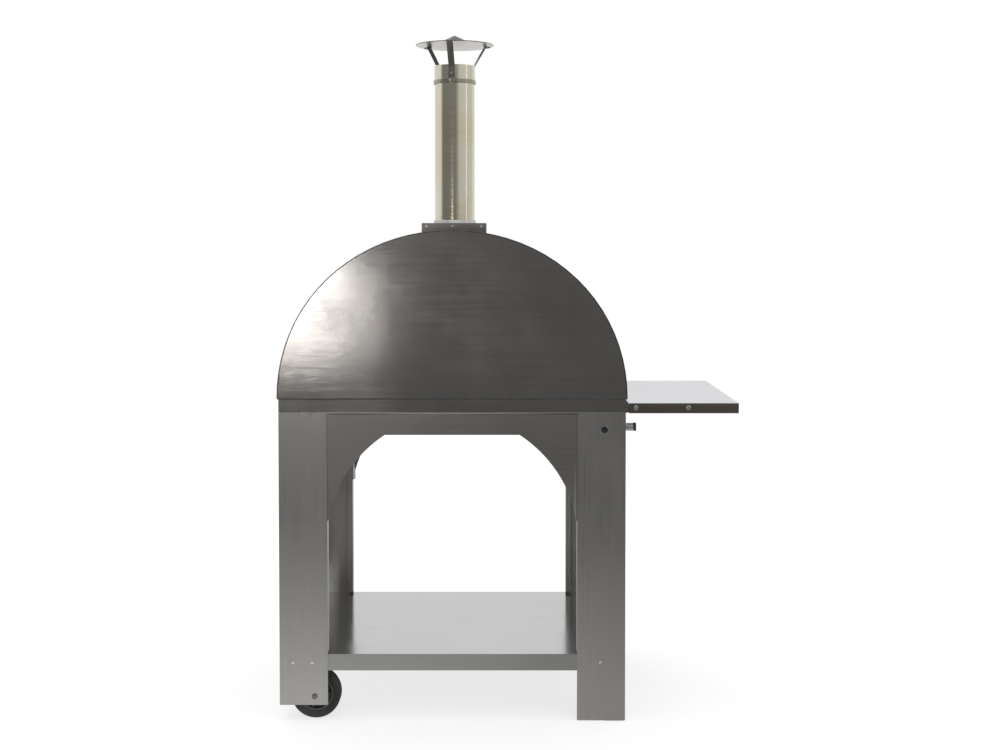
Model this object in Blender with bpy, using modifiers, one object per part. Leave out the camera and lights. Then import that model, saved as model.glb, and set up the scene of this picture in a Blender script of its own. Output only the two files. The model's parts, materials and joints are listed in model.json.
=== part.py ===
"""Wood fired pizza oven on a four-legged cart, in metres, +Z up.

The closed back faces -Y and the mouth faces +Y. Shapes are drawn around the oven's own
centre line, and the frame empty carries them to the origin under the whole object's box.
"""

import math

import bmesh
import bpy
from mathutils import Matrix, Vector

GAP = 0.0003
SHEET = 0.0015
LEG_SHEET = 0.002

# Cart
CART_X = 0.519
CART_Y = 0.385
LEG_FACE = 0.145
LEG_RETURN = 0.035
LEG_LIP = 0.018
LEG_TOP = 0.928
LEG_RETURN_LOW = 0.21
LEG_LOW_WHEELED = 0.049
LEG_LOW_STANDING = 0.002
LEG_CORNER = 0.004
PAD_SIZE = 0.06
PAD_HIGH = 0.022
APRON_TOP = 0.926
APRON_LOW = 0.864
APRON_END = 0.606
APRON_ARC = 0.40
APRON_ARC_RUN = 0.172
APRON_SETBACK = 0.002
SHELF_TOP = 0.203
SHELF_SKIRT = 0.050

# Wheels
WHEEL_R = 0.075
WHEEL_X = -0.414
WHEEL_Y = 0.337
WHEEL_HALF = 0.020
RIM_R = 0.054
AXLE_R = 0.005

# Oven body
TRAY_LOW = 0.929
TRAY_TOP = 0.972
BODY_LOW = TRAY_TOP + GAP
ROOF_A = 0.524
ROOF_B = 0.504
ROOF_END = 0.388
ROOF_FULLNESS = 2.04
ROOF_VOID = 0.0045
PANEL_RIM = 0.001
VAULT_A = 0.464
VAULT_B = 0.444
VAULT_FRONT = 0.3075
VAULT_BACK = -0.3015
HEARTH_TOP = 1.0108
TILE_X = 0.449
TILE_Y = 0.3005
MOUTH_HALF = 0.25
MOUTH_LOW = 1.0112
MOUTH_SPRING = 1.151
MOUTH_TOP = 1.281

# Flue and cap
FLUE_Y = -0.10
PIPE_R = 0.0625
BORE_R = 0.0609
SADDLE_HALF = 0.10
SADDLE_TOP = 1.499
SADDLE_WALL = 0.002
PIPE_LOW = 1.5093
PIPE_TOP = 1.985
SLEEVE_LOW = 1.940
SLEEVE_TOP = 1.994
SLEEVE_SHEET = 0.0012
CLAMP_LOW = 1.937
CLAMP_TOP = 1.949
STRUT_FOOT = 1.952
STRUT_TURNS = (-97, 23, 143)
BRIM_R = 0.123
BRIM_Z = 2.058
CONE_R = 0.045
CONE_Z = 2.070
APEX_Z = 2.091

# Door
DOOR_HALF = 0.28
DOOR_LOW = 0.985
DOOR_SPRING = 1.151
DOOR_TOP = 1.311
DOOR_BACK = CART_Y + 0.0025
DOOR_FACE = 0.420
HINGE_X = -0.302
HINGE_Y = 0.4215
HINGE_Z = (1.04, 1.20)
HANDLE_X = 0.215
HANDLE_Z = (1.09, 1.21)
HANDLE_OUT = 0.040
GRIP_R = 0.012
GRIP_SPAN = 0.17
GAUGE_Z = 1.205
NEEDLE_COLD = math.radians(130)
VENT_Z = 1.029
VENT_SLOTS = (-0.09, 0.0, 0.09)
VENT_TRAVEL = 0.045

# Folding side shelf and the pegs that stop it
WING_IN = 0.5306
WING_OUT = 0.862
WING_Y = 0.35
WING_LOW = 0.925
WING_TOP = 0.9555
WING_PIVOT = (0.552, 0.942)
WING_RIB = (0.592, 0.628)
WING_RIB_LOW = 0.9463
EAR_R = 0.0105
EAR_SHEET = 0.0025
PIVOT_SCREW_R = 0.0028
PEG_Y = 0.315
PEG_Z = 0.880
PEG_R = 0.012
PEG_TIP = 0.5555
PEG_CAP = 0.008
PEG_BOLT_X = 0.455

FRONT_END = DOOR_FACE + HANDLE_OUT + 2 * GRIP_R
CENTRE_X = -(WING_OUT - ROOF_A) / 2
CENTRE_Y = -(FRONT_END - ROOF_END) / 2

STEEL = {"colour": (0.36, 0.35, 0.33, 1), "roughness": 0.32, "metallic": 1.0}
PALE_STEEL = {"colour": (0.62, 0.61, 0.60, 1), "roughness": 0.28, "metallic": 1.0}
BRIGHT = {"colour": (0.75, 0.74, 0.70, 1), "roughness": 0.15, "metallic": 1.0}
ZINC = {"colour": (0.55, 0.55, 0.56, 1), "roughness": 0.35, "metallic": 1.0}
DARK_BOLT = {"colour": (0.05, 0.05, 0.05, 1), "roughness": 0.45, "metallic": 0.8}
RUBBER = {"colour": (0.02, 0.02, 0.02, 1), "roughness": 0.85, "metallic": 0.0}
PLASTIC = {"colour": (0.03, 0.03, 0.03, 1), "roughness": 0.5, "metallic": 0.0}
FIRECLAY = {"colour": (0.66, 0.52, 0.38, 1), "roughness": 0.95, "metallic": 0.0}
WOOL = {"colour": (0.80, 0.79, 0.74, 1), "roughness": 1.0, "metallic": 0.0}
WOOD = {"colour": (0.33, 0.17, 0.08, 1), "roughness": 0.5, "metallic": 0.0}
RED = {"colour": (0.60, 0.05, 0.04, 1), "roughness": 0.4, "metallic": 0.0}
GLASS = {"colour": (0.90, 0.93, 0.92, 1), "roughness": 0.03, "metallic": 0.0}


def clear_scene():
    for old in list(bpy.data.objects):
        bpy.data.objects.remove(old, do_unlink=True)


def new_collection(name):
    made = bpy.data.collections.new(name)
    bpy.context.scene.collection.children.link(made)
    return made


clear_scene()
PARTS = new_collection("pizza_oven")
CUTTERS = new_collection("cutters")


def empty(name, place, parent=None):
    made = bpy.data.objects.new(name, None)
    made.location = place
    made.parent = parent
    PARTS.objects.link(made)
    return made


FRAME = empty("oven_frame", (CENTRE_X, CENTRE_Y, 0))
DOOR_PIVOT = empty("door_pivot", (HINGE_X, HINGE_Y, 0), FRAME)
VENT_PIVOT = empty("vent_pivot", (0, 0, 0), DOOR_PIVOT)
VENT_PIVOT.location = (-HINGE_X, DOOR_FACE - HINGE_Y, VENT_Z)
NEEDLE_PIVOT = empty("needle_pivot", (-HINGE_X, DOOR_FACE - HINGE_Y, GAUGE_Z), DOOR_PIVOT)
WING_AXIS = empty("side_shelf_pivot", (WING_PIVOT[0], 0, WING_PIVOT[1]), FRAME)


def offset_in_oven(holder):
    place = Vector((0, 0, 0))
    while holder is not None and holder is not FRAME:
        place = place + holder.location
        holder = holder.parent
    return place


def link(name, mesh, finish, holder=FRAME):
    """An object whose mesh is drawn in oven coordinates, carried by a pivot."""
    made = bpy.data.objects.new(name, mesh)
    made.parent = holder
    made.location = -offset_in_oven(holder)
    if finish is None:
        made.hide_render = True
        made.display_type = "WIRE"
        CUTTERS.objects.link(made)
        return made
    skin = bpy.data.materials.new(name)
    skin.use_nodes = True
    shader = skin.node_tree.nodes["Principled BSDF"]
    shader.inputs["Base Color"].default_value = finish["colour"]
    shader.inputs["Roughness"].default_value = finish["roughness"]
    shader.inputs["Metallic"].default_value = finish["metallic"]
    mesh.materials.append(skin)
    PARTS.objects.link(made)
    return made


def mesh_from(shape, name):
    mesh = bpy.data.meshes.new(name)
    shape.to_mesh(mesh)
    shape.free()
    return mesh


def add_box(shape, low, high):
    made = bmesh.ops.create_cube(shape, size=1.0)
    for corner in made["verts"]:
        for axis in range(3):
            middle = (low[axis] + high[axis]) / 2
            corner.co[axis] = middle + corner.co[axis] * (high[axis] - low[axis])


def boxes(name, corners, finish, holder=FRAME):
    shape = bmesh.new()
    for low, high in corners:
        add_box(shape, low, high)
    return link(name, mesh_from(shape, name), finish, holder)


def box(name, low, high, finish, holder=FRAME):
    return boxes(name, [(low, high)], finish, holder)


def cut(target, cutter):
    boolean = target.modifiers.new("cut_" + cutter.name, "BOOLEAN")
    boolean.operation = "DIFFERENCE"
    boolean.solver = "EXACT"
    boolean.object = cutter


def weld(target, extra):
    boolean = target.modifiers.new("weld_" + extra.name, "BOOLEAN")
    boolean.operation = "UNION"
    boolean.solver = "EXACT"
    boolean.object = extra


def thicken(target, thickness):
    solid = target.modifiers.new("sheet", "SOLIDIFY")
    solid.thickness = thickness
    solid.offset = -1
    solid.use_even_offset = True


def on_y(y):
    return lambda u, w: Vector((u, y, w))


def on_x(x):
    return lambda u, w: Vector((x, u, w))


def on_z(z):
    return lambda u, w: Vector((u, w, z))


def slab(name, outline, to_space, depth, finish, holder=FRAME):
    """A flat outline drawn out along the vector depth."""
    shape = bmesh.new()
    face = shape.faces.new([shape.verts.new(to_space(*point)) for point in outline])
    drawn = bmesh.ops.extrude_face_region(shape, geom=[face])
    moved = [item for item in drawn["geom"] if isinstance(item, bmesh.types.BMVert)]
    bmesh.ops.translate(shape, verts=moved, vec=Vector(depth))
    bmesh.ops.recalc_face_normals(shape, faces=shape.faces)
    return link(name, mesh_from(shape, name), finish, holder)


def pan(name, outline, to_space, depth, flanged, thickness, finish, holder=FRAME):
    """A sheet with its first flanged edges folded along the vector depth."""
    shape = bmesh.new()
    corners = [shape.verts.new(to_space(*point)) for point in outline]
    face = shape.faces.new(corners)
    shape.verts.ensure_lookup_table()
    folds = [face.edges[index] for index in range(flanged)]
    drawn = bmesh.ops.extrude_edge_only(shape, edges=folds)
    moved = [item for item in drawn["geom"] if isinstance(item, bmesh.types.BMVert)]
    bmesh.ops.translate(shape, verts=moved, vec=Vector(depth))
    bmesh.ops.recalc_face_normals(shape, faces=shape.faces)
    shape.normal_update()
    if face.normal.dot(Vector(depth)) > 0:
        bmesh.ops.reverse_faces(shape, faces=shape.faces)
    bmesh.ops.triangulate(shape, faces=[face])
    made = link(name, mesh_from(shape, name), finish, holder)
    thicken(made, thickness)
    return made


def strip(name, path, start, end, closed, thickness, finish):
    """A sheet bent along a path in X and Z, running from start to end along Y."""
    shape = bmesh.new()
    near = [shape.verts.new((x, start, z)) for x, z in path]
    far = [shape.verts.new((x, end, z)) for x, z in path]
    count = len(path)
    for index in range(count if closed else count - 1):
        following = (index + 1) % count
        shape.faces.new((near[index], near[following], far[following], far[index]))
    bmesh.ops.recalc_face_normals(shape, faces=shape.faces)
    shape.normal_update()
    shape.faces.ensure_lookup_table()
    middle = Vector((0, (start + end) / 2, sum(z for _, z in path) / count))
    first = shape.faces[0]
    if first.normal.dot(first.calc_center_median() - middle) < 0:
        bmesh.ops.reverse_faces(shape, faces=shape.faces)
    made = link(name, mesh_from(shape, name), finish)
    thicken(made, thickness)
    return made


def add_rod(shape, start, axis, length, radius, sides=20):
    """A rod from its start along an axis, added to an open bmesh."""
    direction = Vector(axis)
    middle = Vector(start) + direction * (length / 2)
    turn = direction.to_track_quat("Z", "Y").to_matrix().to_4x4()
    bmesh.ops.create_cone(
        shape,
        cap_ends=True,
        segments=sides,
        radius1=radius,
        radius2=radius,
        depth=length,
        matrix=Matrix.Translation(middle) @ turn,
    )


def rods(name, entries, finish, holder=FRAME, sides=20):
    """Separate rods, each given by its start, axis, length and radius."""
    shape = bmesh.new()
    for start, axis, length, radius in entries:
        add_rod(shape, start, axis, length, radius, sides)
    return link(name, mesh_from(shape, name), finish, holder)


def turned(name, profile, finish, place=(0, 0, 0), turn=None, steps=32, holder=FRAME):
    """A profile of (radius, height) points, outer side from top to bottom, spun about Z."""
    mesh = bpy.data.meshes.new(name)
    ends_on_axis = profile[0][0] == 0
    edges = [(index, index + 1) for index in range(len(profile) - 1)]
    if not ends_on_axis:
        edges.append((len(profile) - 1, 0))
    mesh.from_pydata([(radius, 0, height) for radius, height in profile], edges, [])
    made = link(name, mesh, finish, holder)
    screw = made.modifiers.new("turn", "SCREW")
    screw.steps = steps
    screw.render_steps = steps
    screw.use_merge_vertices = True
    screw.merge_threshold = 0.00005
    made.location = Vector(place) - offset_in_oven(holder)
    if turn:
        made.rotation_euler = turn
    return made


def rod(name, start, axis, length, radius, finish, holder=FRAME, sides=20):
    return rods(name, [(start, axis, length, radius)], finish, holder, sides)


def arc(start, end, radius, steps):
    """Points after start up to end on a circle that bulges to the left of the way."""
    begin = Vector(start)
    chord = Vector(end) - begin
    half = chord.length / 2
    sideways = Vector((chord.y, -chord.x)).normalized()
    centre = begin + chord / 2 + sideways * math.sqrt(radius * radius - half * half)
    opening = 2 * math.asin(half / radius)
    arm = begin - centre
    points = []
    for step in range(1, steps + 1):
        angle = -opening * step / steps
        points.append(
            (
                centre.x + arm.x * math.cos(angle) - arm.y * math.sin(angle),
                centre.y + arm.x * math.sin(angle) + arm.y * math.cos(angle),
            )
        )
    return points


def vault_path(half_width, height, low, steps, fullness=2.0):
    """The arch over the oven, from the right foot to the left one."""
    points = []
    for step in range(steps + 1):
        angle = math.pi * step / steps
        reach = math.cos(angle)
        rise = math.sin(angle)
        across = math.copysign(abs(reach) ** (2 / fullness), reach)
        points.append((half_width * across, low + height * abs(rise) ** (2 / fullness)))
    return points


def doorway(half_width, low, spring, top, steps=20):
    """An upright opening with an arched head, closed at the bottom."""
    head = vault_path(half_width, top - spring, spring, steps)
    return [(half_width, low)] + head + [(-half_width, low)]


def leg(side_x, side_y, low, cutter):
    """A folded L post: two faces, each with a return flange and a lip."""
    side_word = "right" if side_x > 0 else "left"
    end_word = "front" if side_y > 0 else "rear"
    name = f"leg_{end_word}_{side_word}"
    inner = LEG_FACE - LEG_LIP
    half = [(inner, LEG_RETURN), (LEG_FACE, LEG_RETURN), (LEG_FACE, 0)]
    section = half + [(0, 0)] + [(v, u) for u, v in reversed(half)]
    shape = bmesh.new()
    rows = []
    for height in (LEG_TOP, LEG_RETURN_LOW, low):
        row = []
        for u, v in section:
            row.append(shape.verts.new((side_x * (CART_X - u), side_y * (CART_Y - v), height)))
        rows.append(row)
    upper, middle, lower = rows
    for index in range(len(section) - 1):
        shape.faces.new((upper[index], upper[index + 1], middle[index + 1], middle[index]))
    for index in (2, 3):
        shape.faces.new((middle[index], middle[index + 1], lower[index + 1], lower[index]))
    for spare in lower[:2] + lower[5:]:
        shape.verts.remove(spare)
    bmesh.ops.bevel(
        shape, geom=[lower[2], lower[4]], offset=LEG_CORNER, segments=4, profile=0.5, affect="VERTICES"
    )
    bmesh.ops.recalc_face_normals(shape, faces=shape.faces)
    shape.normal_update()
    outer = next(face for face in shape.faces if abs(face.calc_center_median().y) > CART_Y - 1e-5)
    if outer.normal.y * side_y < 0:
        bmesh.ops.reverse_faces(shape, faces=shape.faces)
    made = link(name, mesh_from(shape, name), STEEL)
    thicken(made, LEG_SHEET)
    solid = made.modifiers["sheet"]
    solid.solidify_mode = "NON_MANIFOLD"
    solid.nonmanifold_thickness_mode = "CONSTRAINTS"
    cut(made, cutter)
    return made


def leg_hole_cutter():
    """The axle holes, the peg holes and the peg bolt holes of all four legs."""
    holes = []
    for side in (-1, 1):
        near = side * (CART_Y + 0.01)
        inward = (0, -side, 0)
        holes.append(((WHEEL_X, near, WHEEL_R), inward, 0.02, AXLE_R + GAP))
        holes.append(((PEG_BOLT_X, near, PEG_Z), inward, 0.02, 0.0043))
        holes.append(((CART_X - 0.01, side * PEG_Y, PEG_Z), (1, 0, 0), 0.02, PEG_R + GAP))
    return rods("leg_holes", holes, None)


def make_legs():
    holes = leg_hole_cutter()
    for side_y in (-1, 1):
        leg(-1, side_y, LEG_LOW_WHEELED, holes)
        leg(1, side_y, LEG_LOW_STANDING, holes)
    outer = CART_Y - LEG_SHEET - GAP
    right = CART_X - LEG_SHEET - GAP
    for side, word in ((-1, "rear"), (1, "front")):
        near, far = sorted((side * outer, side * (outer - PAD_SIZE)))
        box(f"foot_pad_{word}", (right - PAD_SIZE, near, 0), (right, far, PAD_HIGH), RUBBER)


def apron_outline(half_span):
    """Down one side, up the arch, along its crown and down again; flanged edges come first."""
    crown = half_span - APRON_ARC_RUN
    rise = arc((-half_span, APRON_END), (-crown, APRON_LOW), APRON_ARC, 12)
    fall = arc((crown, APRON_LOW), (half_span, APRON_END), APRON_ARC, 12)
    start = [(half_span, APRON_END), (half_span, APRON_TOP), (-half_span, APRON_TOP)]
    return start + [(-half_span, APRON_END)] + rise + [(crown, APRON_LOW)] + fall[:-1]


def make_aprons():
    across = CART_X - LEG_FACE - GAP
    along = CART_Y - LEG_FACE - GAP
    for side, word in ((-1, "rear"), (1, "front")):
        place = on_y(side * (CART_Y - APRON_SETBACK))
        fold = (0, -side * 0.030, 0)
        pan(f"apron_{word}", apron_outline(across), place, fold, 3, SHEET, STEEL)
    for side, word in ((-1, "left"), (1, "right")):
        place = on_x(side * (CART_X - APRON_SETBACK))
        fold = (-side * 0.030, 0, 0)
        pan(f"apron_{word}", apron_outline(along), place, fold, 3, SHEET, STEEL)


def rectangle(left, right, low, high):
    return [(left, low), (right, low), (right, high), (left, high)]


def make_lower_shelf():
    half_x = CART_X - LEG_SHEET - GAP
    half_y = CART_Y - LEG_SHEET - GAP
    outline = rectangle(-half_x, half_x, -half_y, half_y)
    fold = (0, 0, -SHELF_SKIRT)
    pan("lower_shelf", outline, on_z(SHELF_TOP), fold, 4, SHEET, PALE_STEEL)


def make_wheels():
    for side, word in ((-1, "rear"), (1, "front")):
        place = (WHEEL_X, side * WHEEL_Y, WHEEL_R)
        tyre = [
            (RIM_R + 0.0005, 0.017),
            (WHEEL_R - 0.006, WHEEL_HALF),
            (WHEEL_R - 0.002, WHEEL_HALF - 0.003),
            (WHEEL_R, WHEEL_HALF - 0.008),
            (WHEEL_R, 0.008 - WHEEL_HALF),
            (WHEEL_R - 0.002, 0.003 - WHEEL_HALF),
            (WHEEL_R - 0.006, -WHEEL_HALF),
            (RIM_R + 0.0005, -0.017),
        ]
        hub = [
            (AXLE_R + GAP, WHEEL_HALF),
            (0.014, WHEEL_HALF),
            (0.016, 0.009),
            (RIM_R - 0.008, 0.009),
            (RIM_R - 0.005, 0.017),
            (RIM_R, 0.017),
            (RIM_R, -0.017),
            (RIM_R - 0.005, -0.017),
            (RIM_R - 0.008, -0.009),
            (0.016, -0.009),
            (0.014, -WHEEL_HALF),
            (AXLE_R + GAP, -WHEEL_HALF),
        ]
        turned(f"tyre_{word}", tyre, RUBBER, place, (math.pi / 2, 0, 0), 48)
        turned(f"wheel_hub_{word}", hub, PLASTIC, place, (math.pi / 2, 0, 0), 32)


def make_axle():
    """One rod through both left legs and both wheels, with a round head at each end."""
    face = CART_Y + GAP
    head = [(0, face + 0.005), (0.0055, face + 0.005), (0.0085, face + 0.003), (0.0085, face)]
    half = head + [(AXLE_R, face)]
    profile = half + [(radius, -height) for radius, height in reversed(half)]
    turned("wheel_axle", profile, ZINC, (WHEEL_X, 0, WHEEL_R), (math.pi / 2, 0, 0), 20)


def make_pegs():
    """Stub tubes through the right legs, which the folded side shelf rests against."""
    cap_at = PEG_TIP - PEG_CAP
    inner_end = PEG_BOLT_X - 0.015
    for side, word in ((-1, "rear"), (1, "front")):
        start = (inner_end, side * PEG_Y, PEG_Z)
        rod(f"peg_{word}", start, (1, 0, 0), cap_at - GAP - inner_end, PEG_R, STEEL)
        start = (cap_at, side * PEG_Y, PEG_Z)
        rod(f"peg_cap_{word}", start, (1, 0, 0), PEG_CAP, PEG_R + 0.0008, RUBBER)
        face = side * (CART_Y + GAP)
        start = (PEG_BOLT_X, face, PEG_Z)
        bolt = rod(f"peg_bolt_{word}", start, (0, side, 0), 0.0075, 0.0105, DARK_BOLT, sides=6)
        tip = side * (PEG_Y + PEG_R + GAP)
        start = (PEG_BOLT_X, tip, PEG_Z)
        length = abs(face - tip) + 0.003
        weld(bolt, rod(f"peg_shank_{word}", start, (0, side, 0), length, 0.004, None, sides=16))


def make_body():
    """The tray, the hearth, the vault in its insulation, and the outer skin."""
    tray = rectangle(-CART_X, CART_X, -CART_Y, CART_Y)
    rim = (0, 0, TRAY_TOP - TRAY_LOW)
    pan("base_tray", tray, on_z(TRAY_LOW), rim, 4, SHEET, STEEL)
    wall = SHEET + GAP
    low = (wall - CART_X, wall - CART_Y, TRAY_LOW + wall)
    high = (CART_X - wall, CART_Y - wall, TRAY_TOP)
    box("floor_insulation", low, high, WOOL)
    for side, word in ((-1, "left"), (1, "right")):
        near, far = sorted((side * 0.0005, side * TILE_X))
        box(f"hearth_tile_{word}", (near, -TILE_Y, BODY_LOW), (far, TILE_Y, HEARTH_TOP), FIRECLAY)
    bore = rod("flue_bore", (0, FLUE_Y, 1.35), (0, 0, 1), 0.2, BORE_R, None, sides=32)
    roof_arch = vault_path(ROOF_A, ROOF_B, BODY_LOW, 40, ROOF_FULLNESS)
    vault_arch = vault_path(VAULT_A, VAULT_B, BODY_LOW, 32)
    cut(strip("roof_skin", roof_arch, -ROOF_END, ROOF_END, False, SHEET, STEEL), bore)
    cut(strip("inner_vault", vault_arch, VAULT_BACK, VAULT_FRONT, False, SHEET, PALE_STEEL), bore)
    outside = vault_path(ROOF_A - ROOF_VOID, ROOF_B - ROOF_VOID, BODY_LOW, 40, ROOF_FULLNESS)
    inside = vault_path(VAULT_A + GAP, VAULT_B + GAP, BODY_LOW, 32)
    ring = outside + inside[::-1]
    length = VAULT_FRONT - VAULT_BACK
    blanket = slab("insulation_blanket", ring, on_y(VAULT_BACK), (0, length, 0), WOOL)
    cut(blanket, bore)
    doorway_line = doorway(MOUTH_HALF, MOUTH_LOW, MOUTH_SPRING, MOUTH_TOP)
    mouth = slab("mouth_cut", doorway_line, on_y(0.30), (0, 0.10, 0), None)
    wall_arch = vault_path(ROOF_A - wall - GAP, ROOF_B - wall - GAP, BODY_LOW, 40, ROOF_FULLNESS)
    back_wall = VAULT_BACK - GAP
    slab("inner_back_wall", wall_arch, on_y(back_wall), (0, -SHEET, 0), PALE_STEEL)
    behind = back_wall - SHEET - GAP
    before = VAULT_FRONT + GAP
    panel_in = CART_Y - SHEET - GAP
    slab("back_insulation", outside, on_y(behind), (0, -(panel_in + behind), 0), WOOL)
    cut(slab("front_insulation", outside, on_y(before), (0, panel_in - before, 0), WOOL), mouth)
    make_end_panels(wall_arch, mouth)
    inner_line = doorway(MOUTH_HALF - GAP, MOUTH_LOW + GAP, MOUTH_SPRING, MOUTH_TOP - GAP)
    strip("mouth_frame", inner_line, 0.305, CART_Y - GAP, True, SHEET, PALE_STEEL)


def make_end_panels(arch, mouth):
    """The flat D panels, each with a rim folded inwards just inside the roof skin."""
    folded = len(arch) - 1
    scale = 0.9988
    inset = [(x * scale, BODY_LOW + (z - BODY_LOW) * scale) for x, z in arch]
    pan("back_panel", inset, on_y(-CART_Y), (0, PANEL_RIM + SHEET, 0), folded, SHEET, STEEL)
    front = pan("front_panel", inset, on_y(CART_Y), (0, -PANEL_RIM - SHEET, 0), folded, SHEET, STEEL)
    cut(front, mouth)


def make_flue():
    """The saddle on the roof, the flue pipe and the rain cap on its three struts."""
    half = SADDLE_HALF
    shell = box(
        "flue_saddle", (-half, FLUE_Y - half, 1.42), (half, FLUE_Y + half, SADDLE_TOP), STEEL
    )
    inside = half - SADDLE_WALL
    ceiling = SADDLE_TOP - SADDLE_WALL
    room = box("saddle_room", (-inside, FLUE_Y - inside, 1.40), (inside, FLUE_Y + inside, ceiling), None)
    cut(shell, room)
    roof = vault_path(ROOF_A + GAP, ROOF_B + GAP, BODY_LOW, 40, ROOF_FULLNESS)
    cut(shell, slab("roof_cut", roof, on_y(-ROOF_END), (0, 2 * ROOF_END, 0), None))
    cut(shell, rod("saddle_bore", (0, FLUE_Y, 1.45), (0, 0, 1), 0.1, BORE_R, None, sides=32))
    middle = (0, FLUE_Y, 0)
    collar = [
        (0.0590, PIPE_LOW + 0.03),
        (0.0606, PIPE_LOW + 0.03),
        (0.0606, PIPE_LOW - GAP),
        (0.0665, PIPE_LOW - GAP),
        (0.0665, SADDLE_TOP + GAP),
        (0.0606, SADDLE_TOP + GAP),
        (0.0606, 1.405),
        (0.0590, 1.405),
    ]
    turned("flue_collar", collar, BRIGHT, middle)
    pipe = [(0.0610, PIPE_TOP), (PIPE_R, PIPE_TOP), (PIPE_R, PIPE_LOW), (0.0610, PIPE_LOW)]
    turned("flue_pipe", pipe, BRIGHT, middle, steps=40)
    sleeve_in = PIPE_R + GAP
    sleeve_out = sleeve_in + SLEEVE_SHEET
    sleeve = [
        (sleeve_in, SLEEVE_TOP),
        (sleeve_out, SLEEVE_TOP),
        (sleeve_out, SLEEVE_LOW),
        (sleeve_in, SLEEVE_LOW),
    ]
    base = turned("cap_sleeve", sleeve, BRIGHT, middle, steps=40)
    make_clamp(sleeve_out + GAP)
    make_cap(base, sleeve_out)


def make_clamp(ring_in):
    """The band round the sleeve's foot, with the lug that its screw draws together."""
    ring_out = ring_in + 0.0022
    ring = [(ring_in, CLAMP_TOP), (ring_out, CLAMP_TOP), (ring_out, CLAMP_LOW), (ring_in, CLAMP_LOW)]
    band = turned("flue_clamp", ring, STEEL, (0, FLUE_Y, 0), steps=40)
    lug_y = FLUE_Y - ring_out
    low = (-0.010, lug_y - 0.009, CLAMP_LOW + SHEET)
    high = (0.010, lug_y + 0.0012, CLAMP_TOP - SHEET)
    weld(band, box("clamp_lug", low, high, None))


def make_cap(sleeve, sleeve_out):
    """The two-step conical hood, and three bent straps that carry it from the sleeve."""
    brim = [
        (0, APEX_Z),
        (CONE_R, CONE_Z),
        (BRIM_R, BRIM_Z + 0.002),
        (BRIM_R, BRIM_Z),
        (CONE_R, CONE_Z - 0.0015),
        (0, APEX_Z - 0.0015),
    ]
    turned("cap_hood", brim, STEEL, (0, FLUE_Y, 0), steps=48)
    slope = (CONE_Z - 0.0015 - BRIM_Z) / (BRIM_R - CONE_R)

    def below_brim(radius):
        return BRIM_Z + slope * (BRIM_R - radius) - 2 * GAP

    base = sleeve_out - SLEEVE_SHEET / 2
    face = base + SLEEVE_SHEET
    bend = 0.103
    tip = 0.118
    outer = [
        (face, STRUT_FOOT),
        (face, SLEEVE_TOP - 0.0005),
        (bend + 0.002, below_brim(bend) - SLEEVE_SHEET),
        (tip, below_brim(tip) - SLEEVE_SHEET),
    ]
    inner = [
        (tip, below_brim(tip)),
        (bend, below_brim(bend)),
        (base, SLEEVE_TOP + 0.001),
        (base, STRUT_FOOT),
    ]
    struts = bmesh.new()
    half_width = 0.010
    for turn in STRUT_TURNS:
        angle = math.radians(turn)
        away = Vector((math.cos(angle), math.sin(angle), 0))
        across = Vector((-math.sin(angle), math.cos(angle), 0))
        start = Vector((0, FLUE_Y, 0)) - across * half_width
        line = [struts.verts.new(start + away * r + Vector((0, 0, z))) for r, z in outer + inner]
        drawn = bmesh.ops.extrude_face_region(struts, geom=[struts.faces.new(line)])
        moved = [item for item in drawn["geom"] if isinstance(item, bmesh.types.BMVert)]
        bmesh.ops.translate(struts, verts=moved, vec=across * 2 * half_width)
    bmesh.ops.recalc_face_normals(struts, faces=struts.faces)
    weld(sleeve, link("cap_struts", mesh_from(struts, "cap_struts"), None))


def make_door():
    """An insulated door that swings on two knuckle hinges at its left edge."""
    swing = DOOR_PIVOT
    line = doorway(DOOR_HALF, DOOR_LOW, DOOR_SPRING, DOOR_TOP)
    fold = DOOR_BACK + SHEET + GAP - DOOR_FACE
    skin = pan("door_skin", line, on_y(DOOR_FACE), (0, fold, 0), len(line), SHEET, STEEL, swing)
    liner = slab("door_liner", line, on_y(DOOR_BACK), (0, SHEET, 0), PALE_STEEL, swing)
    wall = SHEET + GAP
    packed = doorway(DOOR_HALF - wall, DOOR_LOW + wall, DOOR_SPRING, DOOR_TOP - wall)
    depth = DOOR_FACE - DOOR_BACK - 2 * wall
    filling = slab("door_insulation", packed, on_y(DOOR_BACK + wall), (0, depth, 0), WOOL, swing)
    slot_x = 0.018
    slot_z = 0.007
    slots = [
        ((x - slot_x, DOOR_BACK - 0.01, VENT_Z - slot_z), (x + slot_x, DOOR_FACE + 0.02, VENT_Z + slot_z))
        for x in VENT_SLOTS
    ]
    ports = boxes("door_slots", slots, None, swing)
    for piece in (skin, liner, filling):
        cut(piece, ports)
    make_hinges(swing)
    make_handle(swing)
    make_gauge(swing)
    make_vent(swing, slot_x, slot_z)


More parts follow.
